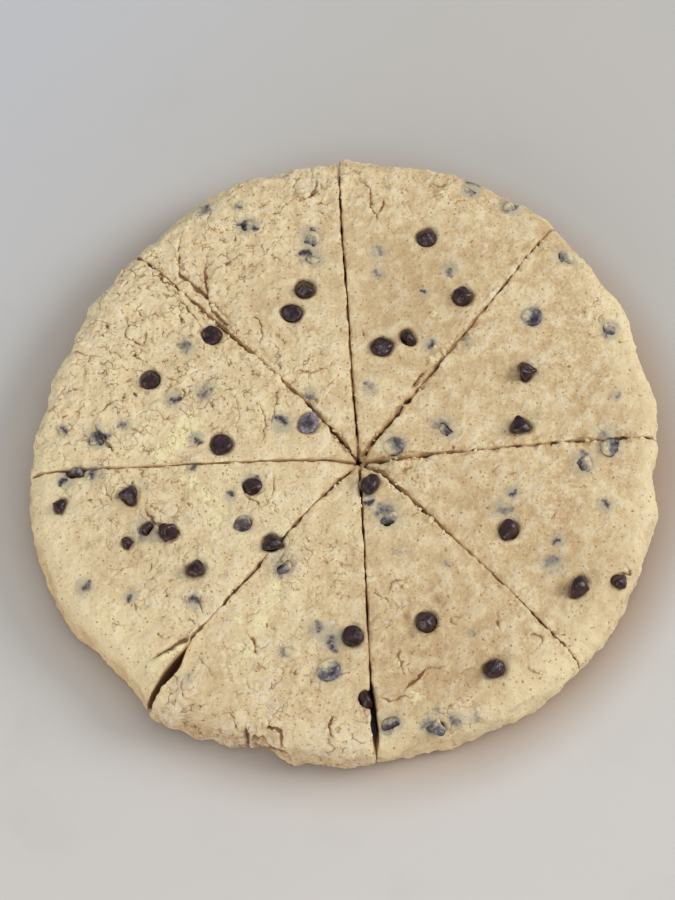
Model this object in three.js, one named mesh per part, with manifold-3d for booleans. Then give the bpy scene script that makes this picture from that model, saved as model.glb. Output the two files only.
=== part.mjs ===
// A round of chocolate chip scone dough, patted flat by hand and cut into eight wedges
// that still stand together. Millimetres, +Z up, resting on z = 0, seen from above with
// +Y away from the cook and +X to the cook's right.
import * as THREE from 'three';
import { mergeVertices } from 'three/addons/utils/BufferGeometryUtils.js';
import Module from 'manifold-3d';

const wasm = await Module();
wasm.setup();

// ---------------------------------------------------------------- driving dimensions
const THICKNESS = 19;
const MEAN_RADIUS = 95;
const ROUND_SIDES = 72;

// How far the patted edge stands out of a true circle, every 15 degrees from +X.
const OUTLINE_BULGES = [
  -1, 0, 2, 3, 3.5, 3, 1.5, 0.5, -1.5, -3.5, -4.5, -3.5,
  -1.5, 1.5, 3, 1, 3, -1, 1, -0.5, 1, 1, 1, -1,
];

// The edge in section, from the resting face up and over to the middle: how far in from
// the widest line, and how high as a share of the thickness.
const EDGE_PROFILE = [
  { inset: 4, height: 0 },
  { inset: 1.4, height: 0.06 },
  { inset: 0.3, height: 0.2 },
  { inset: 0, height: 0.4 },
  { inset: 0.6, height: 0.63 },
  { inset: 2, height: 0.8 },
  { inset: 4.6, height: 0.91 },
  { inset: 9, height: 0.955 },
  { inset: 20, height: 0.98 },
  { inset: 42, height: 0.995 },
];
const WIDEST_RING = 3;

const CHIP_WIDTH = 6.2;
const CHIP_GAP = 0.3;
const CHIP_SIDES = 9;

const DOUGH_COLOUR = 0xdcc498;
const CHOCOLATE_COLOUR = 0x37211f;

// ---------------------------------------------------------------- solids and booleans
function toManifold(geometry) {
  const bare = geometry.clone();
  bare.deleteAttribute('normal');
  bare.deleteAttribute('uv');
  const merged = mergeVertices(bare, 1e-4);
  return new wasm.Manifold(new wasm.Mesh({
    numProp: 3,
    vertProperties: new Float32Array(merged.attributes.position.array),
    triVerts: new Uint32Array(merged.index.array),
  }));
}

function toGeometry(solid) {
  const { vertProperties, triVerts } = solid.getMesh();
  const geometry = new THREE.BufferGeometry();
  geometry.setAttribute('position', new THREE.BufferAttribute(vertProperties, 3));
  geometry.setIndex(new THREE.BufferAttribute(triVerts, 1));
  return geometry;
}

function wrap(value, size) {
  return ((value % size) + size) % size;
}

// ---------------------------------------------------------------- the patted round
// The bulges joined by a smooth curve that passes through every one of them.
function outlineRadius(angle) {
  const count = OUTLINE_BULGES.length;
  const place = wrap((angle / (2 * Math.PI)) * count, count);
  const start = Math.floor(place);
  const t = place - start;
  const [a, b, c, d] = [-1, 0, 1, 2].map((step) => OUTLINE_BULGES[wrap(start + step, count)]);
  const cubic = (3 * b - a - 3 * c + d) * t ** 3 + (2 * a - 5 * b + 4 * c - d) * t ** 2;
  const knuckles = 0.3 * Math.sin(17 * angle) + 0.25 * Math.sin(29 * angle + 1);
  return MEAN_RADIUS + b + 0.5 * (cubic + (c - a) * t) + knuckles;
}

// Hand-patted dips and swells of the top, up to about half a millimetre.
function swell(x, y) {
  const broad = 0.3 * Math.sin(x / 17 + 1) * Math.cos(y / 21);
  const fine = 0.2 * Math.sin(x / 7 - y / 9) * Math.cos(y / 8 + 2);
  return broad + fine;
}

function topHeight(x, y) {
  const inset = outlineRadius(Math.atan2(y, x)) - Math.hypot(x, y);
  const crown = { inset: MEAN_RADIUS, height: 1 };
  const top = [...EDGE_PROFILE.slice(WIDEST_RING), crown];
  const after = Math.max(1, top.findIndex((row) => row.inset >= inset));
  const [low, high] = [top[after - 1], top[after]];
  const share = (inset - low.inset) / (high.inset - low.inset);
  return THICKNESS * THREE.MathUtils.lerp(low.height, high.height, share) + swell(x, y);
}

function pattedRound() {
  const positions = [0, 0, 0];
  for (const { inset, height } of EDGE_PROFILE) {
    for (let side = 0; side < ROUND_SIDES; side += 1) {
      const angle = (side / ROUND_SIDES) * 2 * Math.PI;
      const radius = outlineRadius(angle) - inset;
      const [x, y] = [radius * Math.cos(angle), radius * Math.sin(angle)];
      positions.push(x, y, THICKNESS * height + height * swell(x, y));
    }
  }
  positions.push(0, 0, THICKNESS + swell(0, 0));

  const rings = EDGE_PROFILE.length;
  const crown = 1 + rings * ROUND_SIDES;
  const corner = (ring, side) => 1 + ring * ROUND_SIDES + (side % ROUND_SIDES);
  const triangles = [];
  for (let side = 0; side < ROUND_SIDES; side += 1) {
    triangles.push(0, corner(0, side + 1), corner(0, side));
    for (let ring = 0; ring < rings - 1; ring += 1) {
      const [a, b] = [corner(ring, side), corner(ring, side + 1)];
      const [c, d] = [corner(ring + 1, side), corner(ring + 1, side + 1)];
      triangles.push(a, b, d, a, d, c);
    }
    triangles.push(corner(rings - 1, side), corner(rings - 1, side + 1), crown);
  }
  const geometry = new THREE.BufferGeometry();
  geometry.setAttribute('position', new THREE.Float32BufferAttribute(positions, 3));
  geometry.setIndex(triangles);
  return toManifold(geometry);
}

// A rounded lump or hollow: a ball stretched to three half-widths and turned about Z.
function lump(centre, halfWidths, turnDegrees) {
  const ball = new THREE.SphereGeometry(1, 12, 8);
  ball.scale(...halfWidths);
  ball.rotateZ(THREE.MathUtils.degToRad(turnDegrees));
  ball.translate(...centre);
  return toManifold(ball);
}

function dough() {
  const tornNotch = lump([-24, -96.5, 12], [5.5, 4.5, 9], 12);
  const foldedLump = lump([-15.5, -92, 5.5], [5.5, 3.4, 5], -8);
  const curledLip = lump([-44, -60.5, 17.6], [7, 1.7, 2.4], 33);
  return pattedRound().subtract(tornNotch).add(foldedLump).add(curledLip);
}

// ---------------------------------------------------------------- knife cuts
// Each cut runs from the middle out past the edge: x, y and the full width of the gap there.
const CUTS = {
  north: [[4, -7, 0.8], [2, 19, 0.7], [0.5, 46, 0.6], [-1, 66, 0.8], [-2.5, 98, 0.9]],
  north_east: [
    [4, -7, 1], [10, 1.5, 1.4], [18, 11.5, 1.6], [28, 24, 1],
    [38, 37, 0.8], [50, 52.5, 0.5], [66, 74, 0.5],
  ],
  east: [
    [4, -7, 1], [11, -6.8, 1.2], [31, -4.5, 0.6], [52, -2.3, 0.5],
    [69, -0.6, 0.5], [97, 1.6, 0.4],
  ],
  south_east: [
    [4, -7, 1], [10.5, -11, 1], [27.5, -27.5, 0.6], [44.5, -44.5, 0.5],
    [58.5, -59.5, 0.5], [71, -73, 0.4],
  ],
  south: [
    [4, -7, 0.9], [5.2, -32, 0.5], [6.2, -56, 0.6], [7, -74, 0.9],
    [8, -86, 2.6], [8.8, -97, 0.6],
  ],
  south_west: [
    [4, -7, 0.6], [-13.5, -25.5, 0.5], [-25, -39.5, 0.5], [-36.5, -53, 0.6],
    [-45, -62.5, 1.4], [-51, -73, 3.2], [-58, -86, 3.6],
  ],
  west: [[4, -7, 0.6], [-19.5, -7.2, 0.4], [-43, -8.2, 0.4], [-67, -9.4, 0.4], [-98, -11.2, 0.4]],
  north_west: [
    [4, -7, 0.8], [-11, 11, 0.8], [-23, 22.5, 0.9], [-33.5, 32.5, 1],
    [-47.5, 46, 0.8], [-68, 65, 0.6],
  ],
};

function knife(path) {
  const across = path.map((_, index) => {
    const [fromX, fromY] = path[Math.max(0, index - 1)];
    const [toX, toY] = path[Math.min(path.length - 1, index + 1)];
    return new THREE.Vector2(fromY - toY, toX - fromX).normalize();
  });
  const edge = (side) => path.map(([x, y, gap], index) => (
    new THREE.Vector2(x, y).addScaledVector(across[index], (side * gap) / 2)
  ));
  const slot = new THREE.Shape([...edge(-1), ...edge(1).reverse()]);
  const blade = new THREE.ExtrudeGeometry(slot, { depth: THICKNESS * 2, bevelEnabled: false });
  blade.translate(0, 0, -THICKNESS / 2);
  return toManifold(blade);
}

// ---------------------------------------------------------------- chocolate chips
// A drop-shaped chip, standing on its round base with the tip up.
const CHIP_OUTLINE = [[0, 0], [2.5, 0.1], [3.1, 1], [2.7, 2.3], [1.2, 3.7], [0, 4.7]];
const CHIP_HEIGHT = CHIP_OUTLINE.at(-1)[1];

// Where each chip lies: `at` in plan, `lean` of its tip away from straight up in degrees
// (180 is base up), `toward` the compass direction the tip leans to (degrees from +X),
// `proud` how far its highest point stands above the dough, and `size` against the usual.
const CHIPS = {
  nnw: [
    { at: [-12.5, 49], lean: 14, toward: 150, proud: 2.6 },
    { at: [-16.5, 41], lean: 168, toward: 60, proud: 1.6 },
    { at: [-10.5, 66.5], lean: 62, toward: 200, proud: 0.5, size: 0.9 },
    { at: [-10, 59.5], lean: 120, toward: 250, proud: 1.2, size: 0.95 },
    { at: [-30.5, 71], lean: 40, toward: 20, proud: 0.3, size: 0.75 },
  ],
  nne: [
    { at: [25, 67], lean: 12, toward: 20, proud: 2.7 },
    { at: [35.5, 46.5], lean: 24, toward: 265, proud: 2.8 },
    { at: [19.2, 33], lean: 118, toward: 210, proud: 2.4 },
    { at: [11, 29.5], lean: 170, toward: 200, proud: 1.8 },
    { at: [39.3, 83.8], lean: 130, toward: 240, proud: 1.2, size: 0.8 },
    { at: [50.8, 77.8], lean: 70, toward: 300, proud: 0.5, size: 0.8 },
  ],
  ene: [
    { at: [54.5, 21], lean: 78, toward: 10, proud: 3.2 },
    { at: [52, 3.6], lean: 66, toward: 92, proud: 3.2 },
    { at: [56.5, 39.5], lean: 172, toward: 120, proud: 0.9 },
    { at: [67.8, 60.4], lean: 64, toward: 205, proud: 0.9, size: 0.9 },
    { at: [30, 3], lean: 112, toward: 225, proud: 1 },
    { at: [14.2, -2.6], lean: 165, toward: 330, proud: 1.1 },
    { at: [80, 36], lean: 48, toward: 140, proud: 0.3, size: 0.75 },
  ],
  ese: [
    { at: [78.5, -3], lean: 150, toward: 160, proud: 2.4, size: 1.05 },
    { at: [70.3, -8.2], lean: 160, toward: 20, proud: 1.1, size: 0.9 },
    { at: [47.5, -29], lean: 16, toward: 280, proud: 2.6 },
    { at: [67.5, -46.5], lean: 86, toward: 340, proud: 3.6, size: 1.05 },
    { at: [79, -44.5], lean: 55, toward: 60, proud: 1.2, size: 0.85 },
  ],
  sse: [
    { at: [7.3, -15.2], lean: 22, toward: 120, proud: 3 },
    { at: [12.3, -25.5], lean: 105, toward: 300, proud: 1.6 },
    { at: [23, -57], lean: 10, toward: 320, proud: 2.7 },
    { at: [42, -71], lean: 26, toward: 85, proud: 3 },
    { at: [5.2, -79.5], lean: 100, toward: 200, proud: 1.4 },
    { at: [12.5, -87], lean: 115, toward: 120, proud: 2.2, size: 0.85 },
    { at: [25.2, -87.5], lean: 60, toward: 70, proud: 1.1, size: 0.9 },
  ],
  ssw: [
    { at: [2, -61.5], lean: 170, toward: 40, proud: 2.2 },
    { at: [-5, -71.5], lean: 176, toward: 0, proud: 0.9, size: 1.05 },
    { at: [-18.3, -40], lean: 140, toward: 310, proud: 1.7 },
  ],
  wsw: [
    { at: [-21.2, -33], lean: 80, toward: 100, proud: 2.4 },
    { at: [-30, -27.2], lean: 8, toward: 0, proud: 1.8 },
    { at: [-43.3, -41.5], lean: 64, toward: 88, proud: 3.4 },
    { at: [-52, -30.3], lean: 72, toward: 262, proud: 3.2, size: 0.95 },
    { at: [-58, -28.6], lean: 100, toward: 150, proud: 1.6, size: 0.72 },
    { at: [-63.6, -33], lean: 84, toward: 20, proud: 1, size: 0.62 },
    { at: [-63.8, -18.4], lean: 74, toward: 190, proud: 2.8 },
    { at: [-84, -21.6], lean: 70, toward: 165, proud: 2.2, size: 0.8 },
    { at: [-79.6, -10.4], lean: 95, toward: 90, proud: 1.2, size: 0.9 },
    { at: [-27.7, -15.6], lean: 30, toward: 250, proud: 0.9 },
  ],
  wnw: [
    { at: [-58.8, 19], lean: 14, toward: 70, proud: 2.7 },
    { at: [-40.5, 33.5], lean: 158, toward: 50, proud: 2 },
    { at: [-11.3, 4.5], lean: 166, toward: 70, proud: 1.7 },
    { at: [-37, -1.8], lean: 166, toward: 260, proud: 1.9, size: 1.08 },
    { at: [-74, -0.5], lean: 58, toward: 220, proud: 1, size: 0.9 },
  ],
};

function chip({ at, lean, toward, proud, size = 1 }, growth = 0) {
  const outline = CHIP_OUTLINE.map(([radius, height]) => new THREE.Vector2(radius, height));
  const drop = new THREE.LatheGeometry(outline, CHIP_SIDES);
  drop.rotateX(Math.PI / 2);
  drop.translate(0, 0, -CHIP_HEIGHT / 2);
  drop.scale(size, size, size);
  const heading = THREE.MathUtils.degToRad(toward);
  drop.rotateY(THREE.MathUtils.degToRad(lean));
  drop.rotateZ(heading);
  drop.computeBoundingBox();
  const { min, max } = drop.boundingBox;
  const lift = topHeight(...at) + proud - max.z;
  drop.translate(-(min.x + max.x) / 2, -(min.y + max.y) / 2, -(min.z + max.z) / 2);
  const spread = 1 + (2 * growth) / (CHIP_WIDTH * size);
  drop.scale(spread, spread, spread);
  drop.translate(at[0], at[1], lift + (min.z + max.z) / 2);
  return toManifold(drop);
}

// ---------------------------------------------------------------- the wedges, cut apart
// Wedges are named by the compass point they face, counter-clockwise from east-north-east.
const WEDGES = ['ene', 'nne', 'nnw', 'wnw', 'wsw', 'ssw', 'sse', 'ese'];

function wedgeName(solid) {
  const { min, max } = solid.boundingBox();
  const angle = Math.atan2((min[1] + max[1]) / 2, (min[0] + max[0]) / 2);
  return WEDGES[Math.floor(wrap(angle, 2 * Math.PI) / (Math.PI / 4))];
}

function cutWedges() {
  const blades = wasm.Manifold.union(Object.values(CUTS).map(knife));
  const seats = wasm.Manifold.union(Object.values(CHIPS).flat().map((row) => chip(row, CHIP_GAP)));
  const pieces = dough().subtract(blades).subtract(seats).decompose();
  return pieces
    .sort((one, other) => other.volume() - one.volume())
    .slice(0, WEDGES.length);
}

// ---------------------------------------------------------------- assembly
const doughMaterial = new THREE.MeshStandardMaterial({
  color: DOUGH_COLOUR,
  roughness: 0.85,
  metalness: 0,
});
const chocolateMaterial = new THREE.MeshStandardMaterial({
  color: CHOCOLATE_COLOUR,
  roughness: 0.45,
  metalness: 0,
});

const scone = new THREE.Group();
scone.name = 'scone_round';

function place(name, solid, material) {
  const mesh = new THREE.Mesh(toGeometry(solid), material);
  mesh.name = name;
  scone.add(mesh);
}

for (const wedge of cutWedges()) place(`wedge_${wedgeName(wedge)}`, wedge, doughMaterial);
for (const [wedge, rows] of Object.entries(CHIPS)) {
  rows.forEach((row, index) => place(`chip_${wedge}_${index + 1}`, chip(row), chocolateMaterial));
}

// The middle of the resting face's bounding box is the origin.
const bounds = new THREE.Box3().setFromObject(scone);
const middle = bounds.getCenter(new THREE.Vector3());
scone.position.set(-middle.x, -middle.y, -bounds.min.z);

export default scone;
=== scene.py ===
"""A round of chocolate chip scone dough, cut into wedges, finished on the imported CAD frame.

Lengths named in the tables below are millimetres in the frame: +X right, +Y away, +Z up.
"""

import math
import random

import bmesh
import bpy
import numpy as np
from mathutils import Matrix, Vector
from mathutils.bvhtree import BVHTree


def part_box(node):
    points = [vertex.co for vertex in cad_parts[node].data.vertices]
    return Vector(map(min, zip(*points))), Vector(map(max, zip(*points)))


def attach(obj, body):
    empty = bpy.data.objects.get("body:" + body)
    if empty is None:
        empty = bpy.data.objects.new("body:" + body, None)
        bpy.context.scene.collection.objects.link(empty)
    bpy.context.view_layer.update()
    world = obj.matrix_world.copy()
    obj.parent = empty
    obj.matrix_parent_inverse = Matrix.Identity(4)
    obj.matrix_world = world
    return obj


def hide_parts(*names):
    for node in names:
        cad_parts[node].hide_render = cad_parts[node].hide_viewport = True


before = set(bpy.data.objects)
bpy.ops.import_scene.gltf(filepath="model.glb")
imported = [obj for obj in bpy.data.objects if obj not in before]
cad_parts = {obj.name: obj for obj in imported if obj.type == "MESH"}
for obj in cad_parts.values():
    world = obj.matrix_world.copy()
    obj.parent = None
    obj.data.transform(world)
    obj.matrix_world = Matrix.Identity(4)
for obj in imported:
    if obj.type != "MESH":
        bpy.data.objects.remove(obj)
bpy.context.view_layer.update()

MM = 0.001
# Points of the frame closer than this, in metres, are one point.
WELD = 0.00001
WEDGES = sorted(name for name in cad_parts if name.startswith("wedge_"))
CHIPS = sorted(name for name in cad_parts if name.startswith("chip_"))
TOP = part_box("wedge_wnw")[1][2] / MM

# ------------------------------------------------------------------ where things are in the dough
# The knife cuts, from the middle outwards, one point every few centimetres.
CUT_PATHS = {
    "north": [(4, -8), (2, 18), (0.5, 45), (-1, 65), (-2.5, 92)],
    "north_east": [(6, -5), (18, 11), (28, 23), (38, 36), (50, 52), (63, 70)],
    "east": [(11, -7.5), (31, -5), (52, -3), (69, -1.3), (92, 0.8)],
    "south_east": [(10, -11.5), (27, -28), (44, -45), (58, -60), (67, -70)],
    "south": [(5, -12), (5, -33), (6, -57), (7, -75), (8, -87)],
    "south_west": [(1, -11), (-13.5, -26), (-25, -40), (-36.5, -54), (-45, -63)],
    "west": [(0, -8), (-19.5, -8), (-43, -9), (-67, -10), (-92, -11.5)],
    "north_west": [(0, -3), (-11, 10), (-23, 22), (-33.5, 32), (-47, 45), (-62, 60)],
}

# Torn cracks: path, half width, depth, and how far the left side stands above the right one.
TEARS = [
    ([(-50, 68), (-51.5, 64), (-51, 55), (-49, 51.5), (-43.5, 47), (-39, 41.5), (-33, 35)], 0.7, 1.4, -0.5),
    ([(-42.5, 62), (-43, 52), (-41, 42), (-37.5, 38), (-29, 28.5)], 0.5, 1.0, 0.4),
    ([(-29, -87.5), (-28, -90.5), (-26.5, -93.5), (-25.5, -98)], 0.55, 1.5, 0.7),
    ([(-28, -90), (-24.5, -90.5), (-21, -92.5), (-17, -94), (-15.5, -97)], 0.5, 1.2, 1.0),
    ([(-22.5, -86), (-21.5, -88.5), (-18.5, -90.5), (-17, -94)], 0.4, 0.9, -0.5),
    ([(-34, -84), (-31.5, -86.5), (-30, -90)], 0.3, 0.6, 0.3),
    ([(-3, -84), (-4.5, -88), (-3, -92)], 0.35, 0.7, 0.4),
    ([(-9.5, 88), (-9, 84), (-11, 80.5), (-15.5, 78.5)], 0.35, 0.7, -0.4),
    ([(-75, 25), (-71, 22), (-67, 22.5)], 0.3, 0.6, 0.35),
    ([(-52, 46), (-49, 42.5), (-45.5, 38), (-44, 34.5)], 0.32, 0.7, 0.3),
    ([(-56, 20), (-51, 17.5), (-49, 14.5), (-47, 11)], 0.28, 0.55, -0.3),
    ([(-60, -20), (-57.5, -25), (-53.5, -29), (-49, -30.5), (-47, -33.5)], 0.38, 0.7, 0.5),
    ([(-41.5, -48), (-42.5, -52), (-41, -56)], 0.4, 0.8, -0.5),
    (
        [(-28.5, 76), (-25, 74), (-21.5, 74.5), (-16.5, 80), (-14.5, 79), (-9, 82.5), (-7.5, 88)],
        0.28, 0.5, 0.4,
    ),
    ([(-30.5, 38), (-27.5, 39), (-25.5, 37), (-25.5, 32.5), (-26, 26)], 0.3, 0.6, 0.35),
    ([(-18.5, 19), (-14, 21), (-11.5, 20.5), (-6, 21.5), (-5, 20)], 0.25, 0.45, -0.2),
    ([(-6.5, 15), (-4, 17), (-2.3, 18.3)], 0.22, 0.4, 0.2),
    ([(-62.5, 51.5), (-60, 48), (-57.5, 47), (-57, 44.5)], 0.26, 0.5, 0.2),
    ([(-77.5, 39.5), (-74.5, 38), (-72, 36.5)], 0.26, 0.5, -0.3),
    ([(-84.5, 29.5), (-81.5, 28.5), (-78, 27), (-74, 26), (-73, 27.5)], 0.26, 0.5, 0.25),
    ([(-69.5, 28), (-67, 25)], 0.25, 0.4, 0.15),
    ([(-50.5, 18.5), (-46.5, 19.5), (-44, 21)], 0.25, 0.45, -0.2),
    ([(-35, 14), (-32.5, 11.5), (-32, 4), (-33, -1)], 0.22, 0.4, 0.15),
    ([(-21, 17), (-20.5, 12), (-22, 5.5), (-23, 4)], 0.28, 0.5, 0.2),
    ([(-76, 5.5), (-73.5, 2), (-71.2, -1.6), (-69.8, -4.2), (-66.8, -7.6)], 0.42, 0.9, 0.4),
    ([(-66, 4), (-62, 1.5), (-59, 0)], 0.22, 0.4, 0.2),
    (
        [(0, 87), (4, 87), (7.3, 84), (8, 79.5), (7.5, 76.5), (9.5, 74.5), (9, 71.5), (6, 70.5)],
        0.32, 0.6, -0.4,
    ),
    ([(12, 82), (12, 78), (11, 76), (9.5, 74.5)], 0.3, 0.6, 0.25),
    ([(25, 88), (27, 85.5), (29, 84.5), (32.5, 85), (35, 87.5)], 0.28, 0.5, -0.2),
    ([(19.5, 78), (20.5, 75)], 0.2, 0.35, 0.1),
    ([(73, 32), (76, 32.5), (78.5, 33.5)], 0.22, 0.4, 0.15),
    ([(73.5, 41.5), (76, 44.5), (78, 46)], 0.3, 0.45, 0.1),
    ([(14, -9.5), (15.5, -8), (20, -7), (24, -7), (26.5, -9.5), (30, -13), (34, -13.5)], 0.24, 0.3, -0.3),
    ([(43, -11.5), (45.5, -9)], 0.22, 0.35, -0.2),
    ([(80, -39.5), (82.5, -42), (80, -43), (76.5, -45)], 0.4, 0.7, 0.2),
    ([(12.5, -42), (15, -46.5), (17, -48.5)], 0.22, 0.35, 0.2),
    ([(16.5, -79), (17, -76.5), (20, -74.8), (22, -72.5), (22.5, -70)], 0.42, 0.8, -0.5),
    ([(8.5, -79.5), (12, -80.8), (16, -79.5), (20, -80.2)], 0.3, 0.5, 0.5),
    ([(22.5, -70.5), (25.5, -71), (29, -70.2)], 0.24, 0.45, 0.3),
    ([(30.5, -73.2), (34, -71.8), (37.5, -71)], 0.22, 0.35, 0.2),
    ([(51.3, -62.6), (52.5, -61), (55.3, -61.4), (56, -63.4), (54.5, -64.6)], 0.26, 0.5, 0.4),
    ([(51.8, -69), (51.6, -71), (53.5, -72), (55, -70.5)], 0.24, 0.45, 0.3),
    ([(7.5, -48), (10, -50), (13, -52)], 0.28, 0.5, 0.3),
    ([(12.5, -50), (12.8, -46), (16, -45), (19.5, -45.5)], 0.24, 0.45, -0.4),
    ([(14.5, -64.5), (15.2, -69), (16.8, -73)], 0.26, 0.5, 0.4),
    ([(60, -60.8), (61.5, -61.8), (63, -61.5)], 0.3, 0.6, 0.3),
    ([(-69, 42), (-66, 36.5), (-66.5, 33), (-62, 30), (-59, 31)], 0.26, 0.6, 0.4),
    ([(20.2, 14.5), (22.7, 17.6), (25, 20.5)], 1.1, 2.6, 0),
    ([(33.8, 31.3), (35.1, 33), (36.6, 35)], 1, 2.4, 0),
    ([(-58, 57), (-55.5, 51), (-52, 49), (-49.5, 44)], 0.3, 0.7, 0.4),
    ([(-47, 10), (-43, 8.5), (-41, 10.5), (-37, 9)], 0.24, 0.5, 0.3),
    ([(-64, 5), (-58, 8.5), (-54, 5.5), (-50, 6)], 0.26, 0.5, -0.3),
    ([(-29, 12), (-24.5, 8), (-24, 2), (-25.5, -3)], 0.26, 0.5, 0.3),
    ([(-44.5, -66), (-41.5, -69), (-38.5, -72.5), (-37.5, -74.5)], 0.24, 0.4, 0.2),
    ([(-46.5, -74), (-46, -78.5), (-45, -80.5)], 0.3, 0.4, -0.2),
    ([(-28.5, -62), (-26.5, -63.5), (-26, -66.5), (-27.5, -67.5)], 0.6, 0.9, -0.4),
    ([(-21.5, -87), (-20, -84), (-18.5, -82.5)], 0.3, 0.5, 0.2),
    ([(-30, -13.5), (-30, -18), (-28.5, -19.5), (-25.5, -21.5), (-25.5, -25)], 0.28, 0.5, 0.2),
    ([(-21.5, -10), (-21, -16), (-21.5, -20), (-20, -26.5)], 0.26, 0.5, 0.2),
    ([(-67.5, -11.5), (-65, -15), (-63.5, -16)], 0.24, 0.4, 0.2),
    ([(-70.5, -39.5), (-68.5, -42), (-64.5, -41.5), (-60, -40)], 0.24, 0.4, -0.3),
    ([(-69.5, -33), (-69, -36)], 0.22, 0.4, 0.1),
    ([(-61.5, -51), (-60, -55.5)], 0.24, 0.4, 0.2),
    ([(-75, 4.8), (-72, 8.8), (-69.6, 11.3), (-66.5, 10.6), (-63.3, 9)], 0.26, 0.55, -0.35),
]

# Patches: x, y, radius and strength. Streaks of butter.
BUTTER = [
    (-51, -1, 5, 0.9), (-54, -6, 4, 0.8), (-46, -14, 5, 0.6), (-41, -19, 5, 0.7), (-38, -26, 6, 0.6),
    (-22, -51, 3.5, 0.8), (-29, -66, 4, 0.7), (-20, -47, 3, 0.6), (-68, -54, 6, 0.5), (-68, 20, 6, 0.5),
    (38, 45, 3, 0.4), (14, -72, 4, 0.4), (-72, -30, 6, 0.4), (-47.5, -64.8, 2.2, 1.1),
    (-51, -67.4, 2.3, 1.1), (-54.5, -70, 2, 1), (-47, 3, 5, 0.9), (-36, -10, 5, 0.7), (-30, -30, 4, 0.6),
    (-25, -58, 4, 0.8), (-31, -58, 3, 0.6), (19.5, -79.8, 2.2, 0.95), (15.5, -69, 2.4, 0.6),
    (17, -47, 2, 0.5), (25, 24.5, 2.4, 0.9), (30, 28, 1.6, 0.8), (26.4, 40.2, 1.3, 0.9),
]
# Pressed hollows in the top, painted darker as shade.
HOLLOWS = [
    (26, -50.5, 2.2, 1), (24, -47.5, 1.3, 0.8), (17, -56, 1.6, 1), (18.5, -60.5, 2, 0.9),
    (64.3, -47.5, 3, 0.9), (12, -63, 2.2, 0.5), (39, -47, 1.6, 0.6), (-49, 28, 1.3, 0.9),
    (12.5, 30, 2.4, 0.4), (50.3, 20.3, 2.4, 0.8),
]
# Larger crumbs on the top, most of them torn up along the north-east and south-east cuts: x, y, size.
CRUMBS = [
    (24.6, 24.6, 1.5), (25.9, 23.5, 1.3), (25.6, 25.7, 1.2), (27.8, 25.9, 1.2), (29.2, 27.4, 1.3),
    (30.1, 28.3, 1.1), (31, 29.3, 1), (31.9, 30.3, 0.8), (27, 28.8, 1), (23.6, 25.9, 0.9), (16.5, 12, 0.9),
    (17.4, 12.7, 0.6), (25.9, 14.6, 0.6), (26.4, 40.2, 1.2), (19, -79.6, 1.1), (14, -58, 0.7),
    (60.5, -62, 0.8), (21.2, -23.4, 1), (24.7, -27.1, 1.2), (25.9, -28.2, 0.9), (28.2, -30.5, 1),
    (16.6, -18.6, 0.8), (33, -42.5, 0.9), (35, -41, 0.7),
]
# Dry flour left on the skin.
FLOUR = [
    (-38, -54, 6, 0.9), (-55, -51, 5, 0.6), (-44, 77, 6, 0.9), (-48, 55, 6, 0.8), (-12, 86, 7, 0.9),
    (-25, 32, 5, 0.7), (-22, -81, 5, 0.9), (36, -86, 6, 0.8), (-60, 60, 8, 0.5), (-80, 32, 8, 0.7),
    (-5, -93, 6, 0.8), (-27, -93, 7, 0.8), (-70, 40, 7, 0.6), (16, -52, 4, 0.6), (-21, -66, 4, 0.7),
    (-30, -24, 3, 0.5), (10, 60, 4, 0.5), (4, 64, 3, 0.5), (30, 25, 4, 0.4), (-88, 15, 7, 0.5),
    (-50, -86, 7, 1), (-38, -90, 7, 1), (-8, -92, 6, 1), (2, -94, 6, 1), (-20, -92, 5, 1),
    (-45, -76, 5, 0.7),
]
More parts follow.
